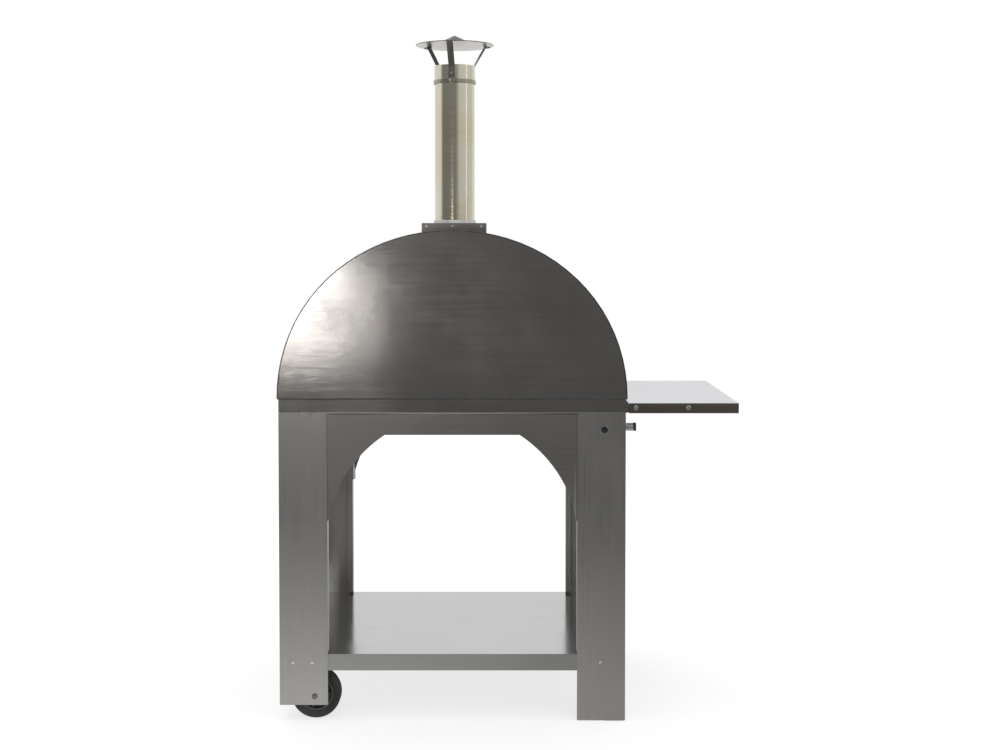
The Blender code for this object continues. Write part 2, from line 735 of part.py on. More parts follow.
def make_hinges(swing):
    """Two hinges: a bracket with an upright pin, and a leaf whose knuckle turns on it."""
    face = CART_Y + GAP
    strap_face = DOOR_FACE + GAP
    for z, word in zip(HINGE_Z, ("low", "high")):
        low = (HINGE_X - 0.045, face, z - 0.022)
        bracket = box(f"hinge_bracket_{word}", low, (HINGE_X - 0.012, face + 0.002, z + 0.022), DARK_BOLT)
        low = (HINGE_X - 0.018, face, z - 0.020)
        arm = box(f"hinge_arm_{word}", low, (HINGE_X + 0.003, HINGE_Y + 0.004, z - 0.0015), None)
        weld(bracket, arm)
        pin = rod(f"hinge_pin_{word}", (HINGE_X, HINGE_Y, z - 0.010), (0, 0, 1), 0.032, 0.003, None)
        weld(bracket, pin)
        low = (HINGE_X + 0.004, strap_face, z + 0.001)
        high = (HINGE_X + 0.085, strap_face + 0.0025, z + 0.019)
        leaf = box(f"hinge_leaf_{word}", low, high, DARK_BOLT, swing)
        base = (HINGE_X, HINGE_Y, z - 0.0005)
        weld(leaf, rod(f"knuckle_{word}", base, (0, 0, 1), 0.021, 0.0058, None, swing))
        base = (HINGE_X, HINGE_Y, z - 0.010)
        cut(leaf, rod(f"knuckle_bore_{word}", base, (0, 0, 1), 0.040, 0.0033, None, swing))


def make_handle(swing):
    """A strip with two posts on the door, and the turned grip that they carry."""
    face = DOOR_FACE + GAP
    low = (HANDLE_X - 0.010, face, HANDLE_Z[0] - 0.014)
    strap = box("handle_bracket", low, (HANDLE_X + 0.010, face + 0.002, HANDLE_Z[1] + 0.014), ZINC, swing)
    for z, word in zip(HANDLE_Z, ("low", "high")):
        start = (HANDLE_X, face + 0.001, z)
        weld(strap, rod(f"post_{word}", start, (0, 1, 0), HANDLE_OUT - 0.0016, 0.006, None, swing))
    middle = sum(HANDLE_Z) / 2
    half = GRIP_SPAN / 2
    upper = [
        (0, half),
        (GRIP_R * 0.55, half),
        (GRIP_R * 0.85, half - 0.004),
        (GRIP_R * 0.90, half - 0.02),
        (GRIP_R, 0.03),
    ]
    grip = upper + [(radius, -height) for radius, height in reversed(upper)]
    place = (HANDLE_X, DOOR_FACE + HANDLE_OUT + GRIP_R, middle)
    turned("handle_grip", grip, WOOD, place, holder=swing, steps=24)


def make_gauge(swing):
    """A dial thermometer; its parts are turned about an axis that points out of the door."""
    out = (-math.pi / 2, 0, 0)
    place = (0, DOOR_FACE, GAUGE_Z)
    cup = [
        (0.0285, 0.0150),
        (0.0320, 0.0150),
        (0.0320, GAP),
        (0, GAP),
        (0, 0.0020),
        (0.0285, 0.0020),
    ]
    turned("thermometer_case", cup, ZINC, place, out, 32, swing)
    lens = [(0, 0.0125), (0.0280, 0.0120), (0.0280, 0.0105), (0, 0.0110)]
    turned("thermometer_lens", lens, GLASS, place, out, 32, swing)
    front = DOOR_FACE + 0.0045
    arrow = [(-0.002, -0.007), (0.002, -0.007), (0.0006, 0.022), (-0.0006, 0.022)]
    sine = math.sin(NEEDLE_COLD)
    cosine = math.cos(NEEDLE_COLD)
    outline = [(x * cosine + z * sine, GAUGE_Z + z * cosine - x * sine) for x, z in arrow]
    needle = slab("thermometer_needle", outline, on_y(front), (0, 0.001, 0), RED, NEEDLE_PIVOT)
    start = (0, front - 0.0012, GAUGE_Z)
    weld(needle, rod("needle_boss", start, (0, 1, 0), 0.004, 0.0035, None, NEEDLE_PIVOT))


def make_vent(swing, slot_x, slot_z):
    """A slotted plate that slides sideways over the door's slots between two guides."""
    face = DOOR_FACE + GAP
    half_x = VENT_SLOTS[2] + slot_x + 0.045
    half_z = slot_z + 0.006
    low = (VENT_TRAVEL - half_x, face, VENT_Z - half_z)
    slider = box("vent_slider", low, (half_x, face + 0.0015, VENT_Z + half_z), STEEL, VENT_PIVOT)
    openings = []
    for x in VENT_SLOTS:
        left = x + VENT_TRAVEL - slot_x
        low = (left, face - 0.01, VENT_Z - slot_z)
        openings.append((low, (left + 2 * slot_x, face + 0.01, VENT_Z + slot_z)))
    cut(slider, boxes("slider_slots", openings, None, VENT_PIVOT))
    start = (VENT_TRAVEL / 2 - 0.022, face + 0.001, VENT_Z)
    weld(slider, rod("slider_knob", start, (0, 1, 0), 0.018, 0.005, None, VENT_PIVOT))
    end_x = half_x + 0.0006
    edge = half_z + 0.0006
    low = (-end_x - 0.008, face, VENT_Z - edge - 0.008)
    high = (end_x + 0.008, face + 0.0035, VENT_Z + edge + 0.008)
    guide = box("vent_guide", low, high, ZINC, swing)
    low = (-end_x, face - 0.01, VENT_Z - edge)
    cut(guide, box("slider_room", low, (end_x, face + 0.0022, VENT_Z + edge), None, swing))
    low = (0.004 - end_x, face - 0.01, VENT_Z - edge + 0.003)
    cut(guide, box("guide_window", low, (end_x - 0.004, face + 0.01, VENT_Z + edge - 0.003), None, swing))


def bracket_outline():
    """A gusset from the wall to the pivot, taller where the shelf's open end leaves room."""
    pivot_x, pivot_z = WING_PIVOT
    wall = CART_X + GAP
    clear = WING_IN - 2 * GAP
    top = pivot_z + EAR_R
    lower = [(wall, WING_LOW), (pivot_x, pivot_z - EAR_R)]
    return lower + [(pivot_x, top), (clear, top), (clear, WING_TOP), (wall, WING_TOP + 0.012)]


def make_bracket(side, word, ear_y):
    """One gusset with a foot on the wall and a round ear at the pivot."""
    pivot_x, pivot_z = WING_PIVOT
    wall = CART_X + GAP
    depth = (0, -side * EAR_SHEET, 0)
    name = f"side_shelf_bracket_{word}"
    bracket = slab(name, bracket_outline(), on_y(side * ear_y), depth, STEEL)
    start = (pivot_x, side * ear_y, pivot_z)
    weld(bracket, rod(f"ear_{word}", start, (0, -side, 0), EAR_SHEET, EAR_R, None, sides=32))
    near, far = sorted((side * ear_y, side * (ear_y - 0.022)))
    low = (wall, near, WING_LOW)
    weld(bracket, box(f"ear_foot_{word}", low, (wall + EAR_SHEET, far, WING_TOP), None))
    return bracket


def make_side_shelf():
    """A shelf on two brackets, folded down about the screws at its inner end."""
    outline = [(WING_IN, -WING_Y), (WING_OUT, -WING_Y), (WING_OUT, WING_Y), (WING_IN, WING_Y)]
    skirt = (0, 0, WING_LOW - WING_TOP)
    top = pan("side_shelf_top", outline, on_z(WING_TOP), skirt, 3, SHEET, PALE_STEEL, WING_AXIS)
    rib_y = WING_Y - 0.006
    low = (WING_RIB[0], -rib_y, WING_RIB_LOW)
    weld(top, box("shelf_rib", low, (WING_RIB[1], rib_y, WING_TOP - SHEET / 2), None, WING_AXIS))
    pivot_x, pivot_z = WING_PIVOT
    ear_y = WING_Y - SHEET - 2 * GAP
    for side, word in ((-1, "rear"), (1, "front")):
        bracket = make_bracket(side, word, ear_y)
        inward = (0, -side, 0)
        start = (pivot_x, side * (WING_Y + GAP), pivot_z)
        screw = rod(f"side_shelf_screw_{word}", start, (0, side, 0), 0.003, 0.007, BRIGHT, WING_AXIS)
        start = (pivot_x, side * (WING_Y + 0.001), pivot_z)
        shank = rod(f"shank_{word}", start, inward, 0.009, PIVOT_SCREW_R, None, WING_AXIS, 16)
        weld(screw, shank)
        start = (pivot_x, side * (WING_Y + 0.002), pivot_z)
        bore = rod(f"pivot_bore_{word}", start, inward, 0.012, PIVOT_SCREW_R + GAP, None, sides=16)
        cut(bracket, bore)
        cut(top, bore)


make_legs()
make_aprons()
make_lower_shelf()
make_wheels()
make_axle()
make_pegs()
make_body()
make_flue()
make_door()
make_side_shelf()
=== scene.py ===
"""Looks for the wood fired pizza oven: materials, fine meshes, fittings, studio and camera."""

import json
import math

import bmesh
import bpy
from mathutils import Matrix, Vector


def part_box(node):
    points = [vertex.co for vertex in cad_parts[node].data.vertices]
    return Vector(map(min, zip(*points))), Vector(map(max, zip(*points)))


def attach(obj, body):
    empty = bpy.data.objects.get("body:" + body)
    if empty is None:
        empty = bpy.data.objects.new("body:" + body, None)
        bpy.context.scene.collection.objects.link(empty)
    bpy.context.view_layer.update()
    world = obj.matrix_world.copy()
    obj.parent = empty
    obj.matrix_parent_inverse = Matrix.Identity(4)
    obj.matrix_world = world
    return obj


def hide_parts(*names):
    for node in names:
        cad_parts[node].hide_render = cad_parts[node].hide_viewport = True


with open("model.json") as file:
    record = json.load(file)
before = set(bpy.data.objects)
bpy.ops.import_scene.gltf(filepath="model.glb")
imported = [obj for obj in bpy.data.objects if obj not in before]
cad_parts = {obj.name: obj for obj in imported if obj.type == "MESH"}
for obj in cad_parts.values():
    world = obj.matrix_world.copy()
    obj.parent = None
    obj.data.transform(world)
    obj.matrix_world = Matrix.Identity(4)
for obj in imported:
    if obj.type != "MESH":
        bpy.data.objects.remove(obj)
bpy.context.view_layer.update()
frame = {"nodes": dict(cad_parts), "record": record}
NODES = frame["nodes"]

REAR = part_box("back_panel")[0].y
CENTRE_X = (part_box("back_panel")[0].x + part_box("back_panel")[1].x) / 2
LEG_FACE_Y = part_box("leg_rear_left")[0].y
FRONT_FACE_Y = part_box("leg_front_left")[1].y
CENTRE_Y = (LEG_FACE_Y + FRONT_FACE_Y) / 2
FLOOR_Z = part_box("foot_pad_rear")[0].z
PIPE_LOW, PIPE_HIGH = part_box("flue_pipe")
PIPE_R = (PIPE_HIGH.x - PIPE_LOW.x) / 2
FLUE = (PIPE_LOW + PIPE_HIGH) / 2
SLEEVE_R = PIPE_R + 0.0017
SLEEVE_TOP = PIPE_HIGH.z + 0.010
STRUT_TURNS = (-97, 23, 143)

# Screw heads: (radius, height). Each sits a hair off its face.
CART_HEAD = (0.0055, 0.0026)
SADDLE_HEAD = (0.0048, 0.0024)
SIDE_SHELF_HEAD = (0.0070, 0.0030)
HINGE_HEAD = (0.0042, 0.0022)
HOOD_RIVET = (0.004, 0.0018)
SLEEVE_RIVET = (0.0036, 0.0016)
SEAT = 0.0002
SHELF_SCREWS_X = (-0.479, -0.421, 0.445)
SHELF_SCREWS_Y = (-0.335, -0.285, 0.285, 0.335)

# An edge sharper than this is rounded, and a flatter one is shaded smooth.
EDGE_DEGREES = 32

HUB_BORE = 0.0054
HUB_BOSS = 0.015
SPOKES = 7
TILE_COLUMNS = 2
TILE_ROWS = 3
TILE_JOINT = 0.0012
TICKS = 27
TICK_DEGREES = 10


# Materials


class Net:
    """A node tree with helpers for the sums that feed its shaders."""

    def __init__(self, tree):
        self.nodes = tree.nodes
        self.links = tree.links

    def between(self, source, low, high, start=0.3, end=0.7, smooth=False):
        """Carries a value's run from start to end over to a run from low to high."""
        made = self.nodes.new("ShaderNodeMapRange")
        if smooth:
            made.interpolation_type = "SMOOTHSTEP"
        made.inputs["From Min"].default_value = start
        made.inputs["From Max"].default_value = end
        made.inputs["To Min"].default_value = low
        made.inputs["To Max"].default_value = high
        self.links.new(source, made.inputs["Value"])
        return made.outputs["Result"]

    def combine(self, operation, *values):
        made = self.nodes.new("ShaderNodeMath")
        made.operation = operation
        for socket, value in zip(made.inputs, values):
            if isinstance(value, float):
                socket.default_value = value
            else:
                self.links.new(value, socket)
        return made.outputs["Value"]

    def gloss_switch(self, plain, seen_in_gloss, surface):
        """Sends one shader to the eye and to matt surfaces, and another to gloss."""
        ray = self.nodes.new("ShaderNodeLightPath")
        mix = self.nodes.new("ShaderNodeMixShader")
        self.links.new(ray.outputs["Is Glossy Ray"], mix.inputs["Fac"])
        self.links.new(plain, mix.inputs[1])
        self.links.new(seen_in_gloss, mix.inputs[2])
        self.links.new(mix.outputs["Shader"], surface)


class Finish(Net):
    """A material: a Principled shader and the maps that feed it."""

    def __init__(self, name, colour, metallic, roughness):
        self.material = bpy.data.materials.new(name)
        self.material.use_nodes = True
        super().__init__(self.material.node_tree)
        self.shader = self.nodes["Principled BSDF"]
        self.shader.inputs["Base Color"].default_value = (*colour, 1)
        self.shader.inputs["Metallic"].default_value = metallic
        self.shader.inputs["Roughness"].default_value = roughness
        self.place = self.nodes.new("ShaderNodeTexCoord").outputs["Object"]

    def stretched(self, scale):
        mapping = self.nodes.new("ShaderNodeMapping")
        mapping.inputs["Scale"].default_value = scale
        self.links.new(self.place, mapping.inputs["Vector"])
        return mapping.outputs["Vector"]

    def noise(self, scale, size=1.0, detail=4.0, rough=0.5):
        made = self.nodes.new("ShaderNodeTexNoise")
        made.inputs["Scale"].default_value = size
        made.inputs["Detail"].default_value = detail
        made.inputs["Roughness"].default_value = rough
        self.links.new(self.stretched(scale), made.inputs["Vector"])
        return made.outputs["Fac"]

    def blend(self, factor, first, second):
        made = self.nodes.new("ShaderNodeMix")
        made.data_type = "RGBA"
        for letter, value in (("A", first), ("B", second)):
            socket = next(s for s in made.inputs if s.name == letter and s.type == "RGBA")
            if isinstance(value, tuple):
                socket.default_value = (*value, 1)
            else:
                self.links.new(value, socket)
        self.links.new(factor, made.inputs["Factor"])
        return next(s for s in made.outputs if s.type == "RGBA")

    def colour_from(self, source):
        self.links.new(source, self.shader.inputs["Base Color"])

    def roughness_from(self, source):
        self.links.new(source, self.shader.inputs["Roughness"])

    def bump_from(self, source, strength, distance):
        made = self.nodes.new("ShaderNodeBump")
        made.inputs["Strength"].default_value = strength
        made.inputs["Distance"].default_value = distance
        self.links.new(source, made.inputs["Height"])
        self.links.new(made.outputs["Normal"], self.shader.inputs["Normal"])


def shade(colour, factor):
    return tuple(min(1.0, channel * factor) for channel in colour)


GRAIN = {"x": (1.2, 240, 240), "y": (240, 1.2, 240), "z": (240, 240, 1.2)}


def brushed_steel(name, colour, grain, roughness=0.3, contrast=0.10, spread=0.10, ripple=0.12):
    """Sheet steel with a straight grain, faint streaks and hand smudges."""
    made = Finish(name, colour, 1.0, roughness)
    lines = made.noise(GRAIN[grain], 3.0, 6.0, 0.65)
    broad = made.noise(tuple(0.12 * value for value in GRAIN[grain]), 2.0, 3.0)
    smudge = made.noise((3.1, 3.1, 3.1), 1.0, 5.0, 0.6)
    darker = shade(colour, 1 - contrast)
    lighter = shade(colour, 1 + contrast)
    tone = made.blend(made.between(lines, 0.0, 1.0), darker, lighter)
    tone = made.blend(made.between(broad, 0.0, 0.5), tone, shade(colour, 1 - 0.8 * contrast))
    tone = made.blend(made.between(smudge, 0.0, 0.25, 0.45, 0.8), tone, shade(colour, 0.82))
    made.colour_from(tone)
    rough = made.between(lines, roughness - spread / 2, roughness + spread / 2)
    made.roughness_from(made.combine("ADD", rough, made.between(smudge, -0.03, 0.07, 0.4, 0.75)))
    made.bump_from(lines, ripple, 0.00015)
    made.shader.inputs["Anisotropic"].default_value = 0.35
    return made.material


def bright_tube(name, colour):
    """Rolled bright stainless tube with faint rings and heat tint patches."""
    made = Finish(name, colour, 1.0, 0.14)
    rings = made.noise((2, 2, 90), 3.0, 4.0)
    tint = made.noise((2.0, 2.0, 4.5), 1.0, 3.0)
    tone = made.blend(made.between(tint, 0.0, 0.8, 0.4, 0.7), colour, (0.74, 0.64, 0.44))
    made.colour_from(tone)
    made.roughness_from(made.between(rings, 0.11, 0.20))
    made.bump_from(rings, 0.08, 0.0002)
    return made.material


def plated(name, colour, roughness, metallic=1.0):
    made = Finish(name, colour, metallic, roughness)
    grit = made.noise((400, 400, 400), 1.0, 3.0)
    cloud = made.noise((60, 60, 60), 1.0, 4.0)
    made.colour_from(made.blend(made.between(cloud, 0.0, 1.0), shade(colour, 0.78), shade(colour, 1.12)))
    made.roughness_from(made.between(cloud, roughness - 0.06, roughness + 0.12))
    made.bump_from(grit, 0.1, 0.0001)
    return made.material


def moulded(name, colour, roughness, grit_size=700.0, depth=0.0002):
    made = Finish(name, colour, 0.0, roughness)
    grit = made.noise((grit_size, grit_size, grit_size), 1.0, 3.0)
    dust = made.noise((14, 14, 14), 1.0, 6.0, 0.65)
    worn = tuple(0.65 * channel + 0.05 for channel in colour)
    made.colour_from(made.blend(made.between(dust, 0.0, 0.7, 0.45, 0.75), colour, worn))
    made.roughness_from(made.between(dust, roughness - 0.08, roughness + 0.12))
    made.bump_from(grit, 0.35, depth)
    return made.material


def fireclay(name):
    made = Finish(name, (0.66, 0.52, 0.38), 0.0, 0.95)
    grain = made.noise((180, 180, 180), 1.0, 6.0, 0.7)
    stain = made.noise((5, 5, 5), 1.0, 5.0, 0.6)
    base = made.blend(made.between(grain, 0.0, 1.0), (0.52, 0.39, 0.27), (0.74, 0.60, 0.45))
    made.colour_from(made.blend(made.between(stain, 0.0, 0.8, 0.45, 0.75), base, (0.20, 0.16, 0.13)))
    made.roughness_from(made.between(grain, 0.85, 1.0))
    made.bump_from(grain, 0.6, 0.0012)
    return made.material


def wool(name):
    made = Finish(name, (0.80, 0.79, 0.74), 0.0, 1.0)
    fibre = made.noise((90, 90, 260), 1.0, 8.0, 0.75)
    made.colour_from(made.blend(made.between(fibre, 0.0, 1.0), (0.66, 0.65, 0.60), (0.88, 0.87, 0.83)))
    made.roughness_from(made.between(fibre, 0.9, 1.0))
    made.bump_from(fibre, 0.8, 0.002)
    return made.material


def hardwood(name):
    made = Finish(name, (0.33, 0.17, 0.08), 0.0, 0.42)
    rings = made.noise((160, 160, 9), 1.0, 5.0, 0.6)
    pores = made.noise((900, 900, 40), 1.0, 3.0)
    base = made.blend(made.between(rings, 0.0, 1.0), (0.20, 0.09, 0.04), (0.44, 0.24, 0.11))
    made.colour_from(made.blend(made.between(pores, 0.0, 0.6, 0.55, 0.7), base, (0.10, 0.05, 0.02)))
    made.roughness_from(made.between(rings, 0.34, 0.55))
    made.bump_from(pores, 0.3, 0.0003)
    return made.material


def lens_glass(name):
    made = Finish(name, (0.95, 0.97, 0.96), 0.0, 0.02)
    made.shader.inputs["Transmission Weight"].default_value = 1.0
    made.shader.inputs["IOR"].default_value = 1.45
    film = made.noise((70, 70, 70), 1.0, 3.0)
    made.roughness_from(made.between(film, 0.01, 0.05))
    return made.material


DARK = (0.33, 0.312, 0.292)
MID = (0.42, 0.41, 0.388)
PALE = (0.60, 0.60, 0.595)
POLISHED_LIT_TOP = (0.57, 0.57, 0.56)
LOOK = {
    "steel_x": brushed_steel("steel_brushed_across", DARK, "x", 0.34),
    "steel_y": brushed_steel("steel_brushed_deep", DARK, "y", 0.34),
    "panel_x": brushed_steel("panel_across", (0.37, 0.35, 0.33), "x", 0.17, spread=0.06, ripple=0.40),
    "steel_z": brushed_steel("steel_brushed_upright", MID, "z", 0.32),
    "satin_x": brushed_steel("satin_across", PALE, "x", 0.30, contrast=0.06),
    # The side shelf's pale top here and the dark look for its skirts are lit and shaded copies of one
    # sheet: painted light on the top, painted shade on the skirts.
    "satin_lit_top": brushed_steel("satin_deep_painted_light", (0.75, 0.75, 0.755), "y", 0.24, contrast=0.06),
    # The lower shelf's pale top here and the darker look for its rails on the next line are lit and shaded
    # copies of one sheet: painted light on the top, painted shade on the rails.
    "polished_lit_top": brushed_steel("polished_across_painted_light", POLISHED_LIT_TOP, "x", 0.15, contrast=0.05, spread=0.05),
    "rail_painted_shade": brushed_steel("rail_across_painted_shade", (0.36, 0.355, 0.34), "x", 0.34, contrast=0.07),
    # Painted shade: the side shelf's skirts as a dark copy of the sheet of its top.
    "skirt_painted_shade": brushed_steel("skirt_across_painted_shade", (0.24, 0.215, 0.19), "x", 0.30, contrast=0.12),
    # The hood's pale underside here and its near-black upper and outer faces on the next line are lit and
    # shaded copies of one sheet: painted light below, painted shade above.
    "hood": brushed_steel("hood_underside_painted_light", (0.72, 0.70, 0.66), "x", 0.26, contrast=0.06),
    "hood_shaded_top": plated("hood_upper_painted_shade", (0.065, 0.062, 0.055), 0.36),
    "strut": plated("strut_strap", (0.21, 0.20, 0.175), 0.36),
    "band": plated("clamp_band", (0.44, 0.42, 0.34), 0.30),
    "dull": plated("dull_casting", (0.80, 0.79, 0.76), 0.50, metallic=0.35),
    "axle": plated("weathered_zinc", (0.20, 0.19, 0.16), 0.42),
    "bright": bright_tube("bright_tube", (0.80, 0.765, 0.63)),
    "zinc": plated("zinc_plate", (0.58, 0.58, 0.60), 0.32),
    "dark": plated("blackened_steel", (0.07, 0.07, 0.075), 0.42),
    "screw": plated("stainless_screw", (0.70, 0.69, 0.67), 0.22),
    "rubber": moulded("black_rubber", (0.022, 0.022, 0.023), 0.72),
    "tyre": moulded("tyre_rubber", (0.017, 0.017, 0.018), 0.78, grit_size=500.0, depth=0.0004),
    "hub": moulded("hub_nylon", (0.035, 0.035, 0.038), 0.45),
    "clay": fireclay("fireclay_tile"),
    "wool": wool("ceramic_wool"),
    "wood": hardwood("turned_hardwood"),
    "glass": lens_glass("gauge_lens"),
    "enamel": moulded("dial_enamel", (0.86, 0.85, 0.80), 0.38, grit_size=300.0, depth=0.00005),
    "ink": moulded("dial_ink", (0.03, 0.03, 0.03), 0.5),
    "red": moulded("needle_enamel", (0.55, 0.035, 0.03), 0.35, grit_size=300.0, depth=0.00005),
    "soot": moulded("soot_black", (0.04, 0.038, 0.036), 0.9, grit_size=200.0, depth=0.0008),
}


# Mesh tools


def body_of(node):
    bodies = frame["record"]["behaviour"]["bodies"]
    return next(body for body, members in bodies.items() if node in members)


def middle_of(node):
    low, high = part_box(node)
    return (low + high) / 2


def rear_and_front(node):
    """The y of a node's rear and front faces, each with the way it faces."""
    low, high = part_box(node)
    return ((low.y, -1), (high.y, 1))


def piece_from(shape, name, look, body, replaced=()):
    """Makes an object from a bmesh, gives it its look and ties it to its body."""
    mesh = bpy.data.meshes.new(name)
    shape.to_mesh(mesh)
    shape.free()
    mesh.materials.append(LOOK[look])
    piece = bpy.data.objects.new(name, mesh)
    bpy.context.scene.collection.objects.link(piece)
    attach(piece, body)
    if replaced:
        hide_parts(*replaced)
    return piece


def smooth(piece, degrees=EDGE_DEGREES):
    piece.data.shade_smooth()
    piece.data.set_sharp_from_angle(angle=math.radians(degrees))


def round_edges(piece, width, segments=2):
    """Rounds every real edge and keeps the flats flat."""
    bevel = piece.modifiers.new("round", "BEVEL")
    bevel.width = width
    bevel.segments = segments
    bevel.limit_method = "ANGLE"
    bevel.angle_limit = math.radians(EDGE_DEGREES)
    bevel.use_clamp_overlap = True
    bevel.harden_normals = True
    smooth(piece)


def second_look(piece, look, chosen):
    """Gives the chosen faces of a piece another look."""
    piece.data.materials.append(LOOK[look])
    for face in piece.data.polygons:
        if chosen(face):
            face.material_index = 1


def refined(node, look, width):
    """A clean copy of a CAD node: faces merged, edges rounded, round sides smooth."""
    shape = bmesh.new()
    shape.from_mesh(NODES[node].data)
    bmesh.ops.remove_doubles(shape, verts=shape.verts, dist=1e-5)
    bmesh.ops.dissolve_limit(
        shape, angle_limit=math.radians(0.5), verts=shape.verts, edges=shape.edges, delimit=set()
    )
    bmesh.ops.recalc_face_normals(shape, faces=shape.faces)
    piece = piece_from(shape, node + "_finished", look, body_of(node), (node,))
    if width:
        round_edges(piece, width)
    else:
        smooth(piece)
    return piece


def add_lathe(shape, profile, place, axis, steps=32):
    """Adds a turned form: (radius, height) points from one end of the axis to the other."""
    turn = Vector(axis).to_track_quat("Z", "Y").to_matrix()
    origin = Vector(place)
    rings = []
    for radius, height in profile:
        if radius == 0:
            rings.append([shape.verts.new(origin + turn @ Vector((0, 0, height)))])
            continue
        ring = []
        for step in range(steps):
            angle = math.tau * step / steps
            point = Vector((radius * math.cos(angle), radius * math.sin(angle), height))
            ring.append(shape.verts.new(origin + turn @ point))
        rings.append(ring)
    for lower, upper in zip(rings, rings[1:]):
        for step in range(steps):
            following = (step + 1) % steps
            corners = [lower[step % len(lower)], lower[following % len(lower)]]
            corners += [upper[following % len(upper)], upper[step % len(upper)]]
            unique = list(dict.fromkeys(corners))
            if len(unique) > 2:
                shape.faces.new(unique)


def add_closed_lathe(shape, profile, place, axis, steps=32):
    """A turned ring: the profile runs round and meets itself."""
    add_lathe(shape, profile + [profile[0]], place, axis, steps)
    bmesh.ops.remove_doubles(shape, verts=shape.verts, dist=1e-6)


def add_block(shape, low, high):
    made = bmesh.ops.create_cube(shape, size=1.0)
    for corner in made["verts"]:
        for axis in range(3):
            middle = (low[axis] + high[axis]) / 2
            corner.co[axis] = middle + corner.co[axis] * (high[axis] - low[axis])


def add_prism(shape, outline, start, along):
    """A flat outline of 3-D points carried along a vector."""
    face = shape.faces.new([shape.verts.new(Vector(point) + Vector(start)) for point in outline])
    drawn = bmesh.ops.extrude_face_region(shape, geom=[face])
    moved = [item for item in drawn["geom"] if isinstance(item, bmesh.types.BMVert)]
    bmesh.ops.translate(shape, verts=moved, vec=Vector(along))


def closed(shape):
    bmesh.ops.recalc_face_normals(shape, faces=shape.faces)
    return shape


def mirrored(section):
    """The same section on the other side of the middle, in reverse order."""
    return [(radius, -height) for radius, height in reversed(section)]


def add_pan_head(shape, place, axis, head, recessed=True):
    """A pan head, plain or with a hex socket sunk in its crown."""
    radius, height = head
    profile = [(0, height)]
    if recessed:
        socket_r = radius * 0.42
        depth = height * 0.35
        profile = [(0, depth), (socket_r, depth), (socket_r, height)]
    for step in range(5):
        angle = math.radians(90 * step / 4)
        out = radius * (0.72 + 0.28 * math.sin(angle))
        up = height * (0.45 + 0.55 * math.cos(angle))
        profile.append((out, up))
    profile += [(radius, 0.0), (0, 0.0)]
    add_lathe(shape, profile, Vector(place) + Vector(axis) * SEAT, axis, 24)


def screws(name, body, seats, head, recessed=True):
    shape = bmesh.new()
    for place, axis in seats:
        add_pan_head(shape, place, axis, head, recessed)
    smooth(piece_from(closed(shape), name, "screw", body), 40)


# The oven


PLAIN = {
    "leg_rear_left": ("steel_z", 0.0016),
    "leg_front_left": ("steel_z", 0.0016),
    "leg_rear_right": ("steel_z", 0.0016),
    "leg_front_right": ("steel_z", 0.0016),
    "apron_rear": ("steel_x", 0.0009),
    "apron_front": ("steel_x", 0.0009),
    "apron_left": ("steel_y", 0.0009),
    "apron_right": ("steel_y", 0.0009),
    "lower_shelf": ("polished_lit_top", 0.0009),
    "base_tray": ("panel_x", 0.0009),
    "roof_skin": ("steel_y", 0.0005),
    "back_panel": ("panel_x", 0.0005),
    "front_panel": ("panel_x", 0.0005),
    "inner_vault": ("soot", 0.0),
    "inner_back_wall": ("soot", 0.0),
    "mouth_frame": ("satin_x", 0.0004),
    "front_insulation": ("wool", 0.0),
    "flue_saddle": ("steel_x", 0.0008),
    "flue_collar": ("dull", 0.0003),
    "flue_pipe": ("bright", 0.0003),
    "flue_clamp": ("band", 0.0005),
    "cap_sleeve": ("bright", 0.0002),
    "cap_hood": ("hood", 0.0003),
    "door_skin": ("panel_x", 0.0009),
    "door_liner": ("satin_x", 0.0003),
    "peg_rear": ("zinc", 0.0008),
    "peg_front": ("zinc", 0.0008),
    "peg_cap_rear": ("rubber", 0.0012),
    "peg_cap_front": ("rubber", 0.0012),
    "peg_bolt_rear": ("dark", 0.0010),
    "peg_bolt_front": ("dark", 0.0010),
    "foot_pad_rear": ("rubber", 0.0025),
    "foot_pad_front": ("rubber", 0.0025),
    "side_shelf_top": ("satin_lit_top", 0.0009),
    "side_shelf_bracket_rear": ("steel_x", 0.0005),
    "side_shelf_bracket_front": ("steel_x", 0.0005),
    "wheel_axle": ("axle", 0.0006),
    "hinge_bracket_low": ("dark", 0.0005),
    "hinge_bracket_high": ("dark", 0.0005),
    "hinge_leaf_low": ("dark", 0.0005),
    "hinge_leaf_high": ("dark", 0.0005),
    "handle_bracket": ("zinc", 0.0005),
    "handle_grip": ("wood", 0.0012),
    "thermometer_case": ("zinc", 0.0006),
    "thermometer_needle": ("red", 0.0002),
    "vent_slider": ("steel_x", 0.0003),
    "vent_guide": ("zinc", 0.0004),
}
LOOK_ONLY = {
    "floor_insulation": "wool",
    "insulation_blanket": "wool",
    "back_insulation": "wool",
    "door_insulation": "wool",
    "thermometer_lens": "glass",
}


def on_strut(face):
    """True where a face stands above the sleeve or proud of its round side."""
    away = math.hypot(face.center.x - FLUE.x, face.center.y - FLUE.y)
    return face.center.z > SLEEVE_TOP or away > SLEEVE_R


# In three of these the second look goes on faces picked by the way they point: the shelves' side faces and
# the hood's upper faces get painted shade, against painted light on the tops and the hood's underside.
SECOND_LOOKS = {
    "lower_shelf": ("rail_painted_shade", lambda face: abs(face.normal.z) < 0.5),
    "side_shelf_top": ("skirt_painted_shade", lambda face: abs(face.normal.z) < 0.5),
    "cap_sleeve": ("strut", on_strut),
    "cap_hood": ("hood_shaded_top", lambda face: face.normal.z > -0.2),
}


def dress_plain_nodes():
    """Finishes the nodes that need no new shape. Those in LOOK_ONLY keep their CAD mesh."""
    for node, (look, width) in PLAIN.items():
        piece = refined(node, look, width)
        if node in SECOND_LOOKS:
            second_look(piece, *SECOND_LOOKS[node])
    for node, look in LOOK_ONLY.items():
        NODES[node].data.materials.clear()
        NODES[node].data.materials.append(LOOK[look])


